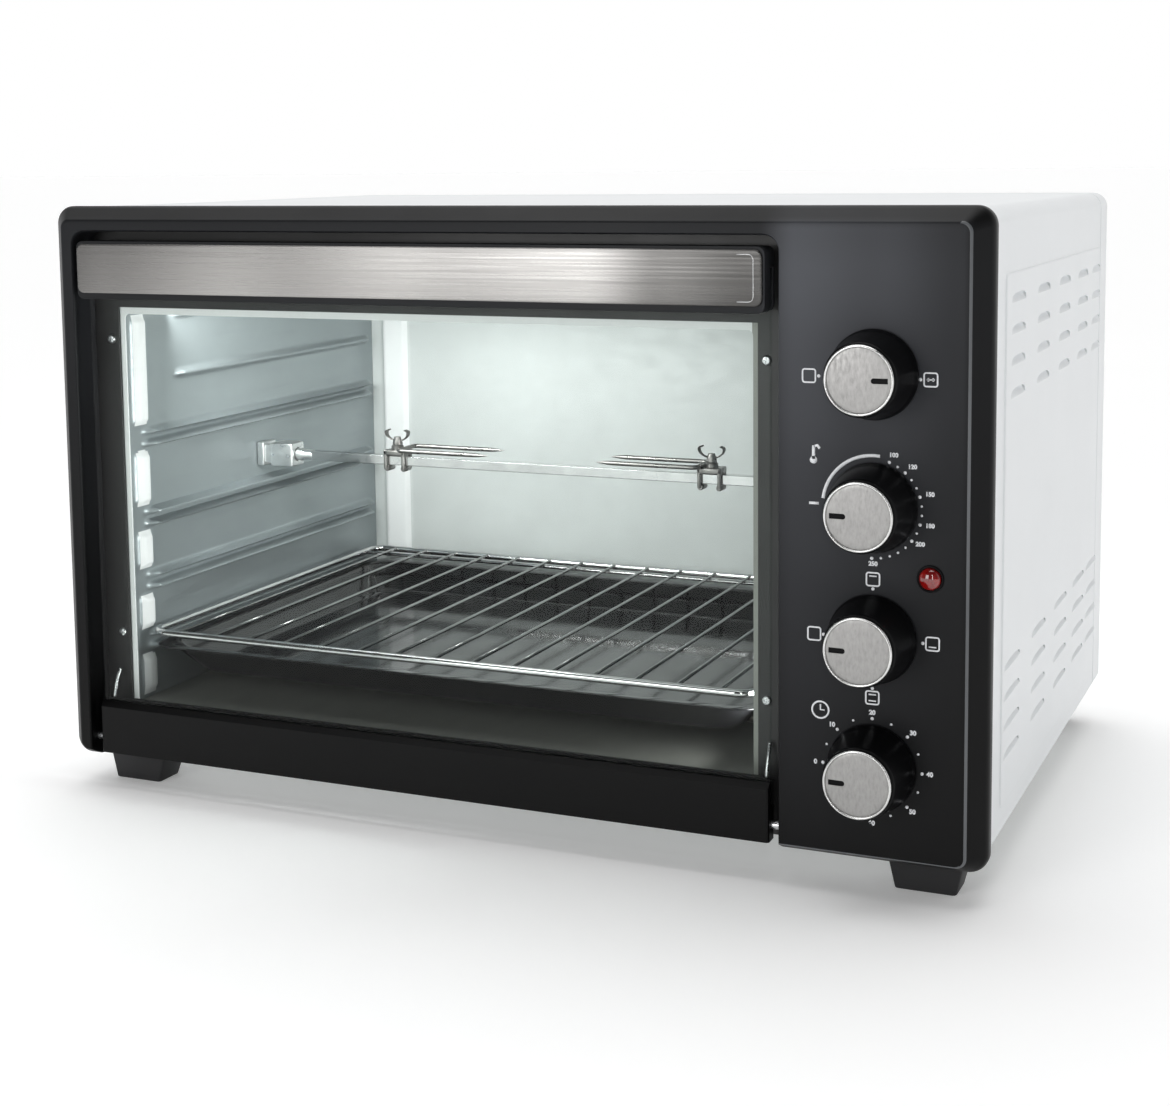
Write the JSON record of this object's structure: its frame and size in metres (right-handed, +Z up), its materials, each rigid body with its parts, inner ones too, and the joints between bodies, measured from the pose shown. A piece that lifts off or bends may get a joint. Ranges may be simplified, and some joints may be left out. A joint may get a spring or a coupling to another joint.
{
  "type": "rotisserie oven",
  "caption": "Countertop oven with a drop-down glass door, motor-driven spit with forks, wire rack over a tray, and a side column of control knobs.",
  "frame": {"origin": "on the worktop, under the middle of the whole oven's box", "axes": "+X across the front towards the controls, +Y from the door to the back, +Z up"},
  "size_m": [0.555, 0.4018, 0.349],
  "materials": {
    "bezel_plastic": "satin black moulding with a fine grain",
    "frame_steel": "black baked paint",
    "casing_paint": "pale grey-white powder coat, satin",
    "galvanised_steel": "aluminised sheet, satin and bright",
    "foot_plastic": "black moulding, matt",
    "heater_sheath": "oxidised steel sheath",
    "plated_steel": "bright zinc plate",
    "gland_rubber": "black, matt",
    "switch_plastic": "heat-resistant moulding, cream",
    "door_glass": "clear tempered pane with a faint smoke tint",
    "brushed_trim": "brushed stainless steel, clear",
    "knob_plastic": "black, semi-gloss",
    "lens_red": "clear dark red dome",
    "lamp_glass": "neon lamp",
    "chrome_wire": "bright chrome plate",
    "black_enamel": "high-gloss black enamel"
  },
  "bodies": {
    "root": {"front_bezel": "bezel_plastic", "front_frame": "frame_steel", "outer_casing": "casing_paint", "rear_panel": "galvanised_steel", "base_plate": "galvanised_steel", "cavity_left_wall": "galvanised_steel", "cavity_right_wall": "galvanised_steel", "cavity_rear_wall": "galvanised_steel", "cavity_ceiling": "galvanised_steel", "cavity_floor": "galvanised_steel", "foot_front_left": "foot_plastic", "foot_front_right": "foot_plastic", "foot_rear_left": "foot_plastic", "foot_rear_right": "foot_plastic", "heater_top_front": "heater_sheath", "heater_top_rear": "heater_sheath", "heater_bottom_front": "heater_sheath", "heater_bottom_rear": "heater_sheath", "frame_screw_left_upper": "plated_steel", "frame_screw_left_lower": "plated_steel", "frame_screw_right_upper": "plated_steel", "frame_screw_right_lower": "plated_steel", "hinge_pin_left": "plated_steel", "hinge_pin_right": "plated_steel", "spit_support": "plated_steel", "rotisserie_motor": "plated_steel", "cord_gland": "gland_rubber", "terminal_block": "switch_plastic", "rotisserie_switch": "switch_plastic", "thermostat": "switch_plastic", "heat_selector_switch": "switch_plastic", "timer_unit": "switch_plastic", "indicator_lens": "lens_red", "indicator_lamp": "lamp_glass"},
    "door": {"door_glass": "door_glass", "handle_housing": "bezel_plastic", "handle_trim": "brushed_trim", "bottom_rail": "bezel_plastic", "door_stay_left": "plated_steel", "door_stay_right": "plated_steel"},
    "spit": {"spit_rod": "chrome_wire", "drive_socket": "plated_steel"},
    "fork_left": {"fork_left": "chrome_wire"},
    "fork_right": {"fork_right": "chrome_wire"},
    "wing_screw_left": {"wing_screw_left": "chrome_wire"},
    "wing_screw_right": {"wing_screw_right": "chrome_wire"},
    "rack": {"wire_rack": "chrome_wire"},
    "tray": {"baking_tray": "black_enamel"},
    "knob_rotisserie": {"knob_body_rotisserie": "knob_plastic", "knob_cap_rotisserie": "brushed_trim", "knob_shaft_rotisserie": "plated_steel"},
    "knob_temperature": {"knob_body_temperature": "knob_plastic", "knob_cap_temperature": "brushed_trim", "knob_shaft_temperature": "plated_steel"},
    "knob_heat": {"knob_body_heat": "knob_plastic", "knob_cap_heat": "brushed_trim", "knob_shaft_heat": "plated_steel"},
    "knob_timer": {"knob_body_timer": "knob_plastic", "knob_cap_timer": "brushed_trim", "knob_shaft_timer": "plated_steel"}
  },
  "joints": [
    {"name": "door_hinge", "type": "hinge", "parent": "root", "child": "door", "pos_m": [-0.044, -0.1634, 0.03], "axis": [1, 0, 0], "range_deg": [0, 90]},
    {"name": "rotisserie_knob_turn", "type": "hinge", "parent": "root", "child": "knob_rotisserie", "pos_m": [0.2208, -0.1714, 0.267], "axis": [0, 1, 0], "range_deg": [-180, 0]},
    {"name": "temperature_knob_turn", "type": "hinge", "parent": "root", "child": "knob_temperature", "pos_m": [0.2208, -0.1714, 0.201], "axis": [0, 1, 0], "range_deg": [0, 270]},
    {"name": "heat_knob_turn", "type": "hinge", "parent": "root", "child": "knob_heat", "pos_m": [0.2208, -0.1714, 0.135], "axis": [0, 1, 0], "range_deg": [0, 270]},
    {"name": "timer_knob_turn", "type": "hinge", "parent": "root", "child": "knob_timer", "pos_m": [0.2208, -0.1714, 0.069], "axis": [0, 1, 0], "range_deg": [0, 270]},
    {"name": "spit_spin", "type": "hinge", "parent": "root", "child": "spit", "pos_m": [0, -0.0014, 0.1805], "axis": [1, 0, 0], "continuous": true},
    {"name": "fork_left_slide", "type": "slide", "parent": "spit", "child": "fork_left", "axis": [1, 0, 0], "range_m": [-0.055, 0.03]},
    {"name": "fork_right_slide", "type": "slide", "parent": "spit", "child": "fork_right", "axis": [1, 0, 0], "range_m": [-0.03, 0.05]},
    {"name": "wing_screw_left_turn", "type": "hinge", "parent": "fork_left", "child": "wing_screw_left", "pos_m": [-0.1405, -0.0014, 0.1805], "axis": [0, 0, 1], "range_deg": [0, 360]},
    {"name": "wing_screw_right_turn", "type": "hinge", "parent": "fork_right", "child": "wing_screw_right", "pos_m": [0.0755, -0.0014, 0.1805], "axis": [0, 0, 1], "range_deg": [0, 360]},
    {"name": "rack_slide", "type": "slide", "parent": "root", "child": "rack", "axis": [0, -1, 0], "range_m": [0, 0.126]},
    {"name": "tray_slide", "type": "slide", "parent": "root", "child": "tray", "axis": [0, -1, 0], "range_m": [0, 0.1025]}
  ],
  "couplings": [
    {"joint": "rack_slide", "follows": "door_hinge", "m_per_rad": 0.08},
    {"joint": "tray_slide", "follows": "door_hinge", "m_per_rad": 0.065}
  ]
}
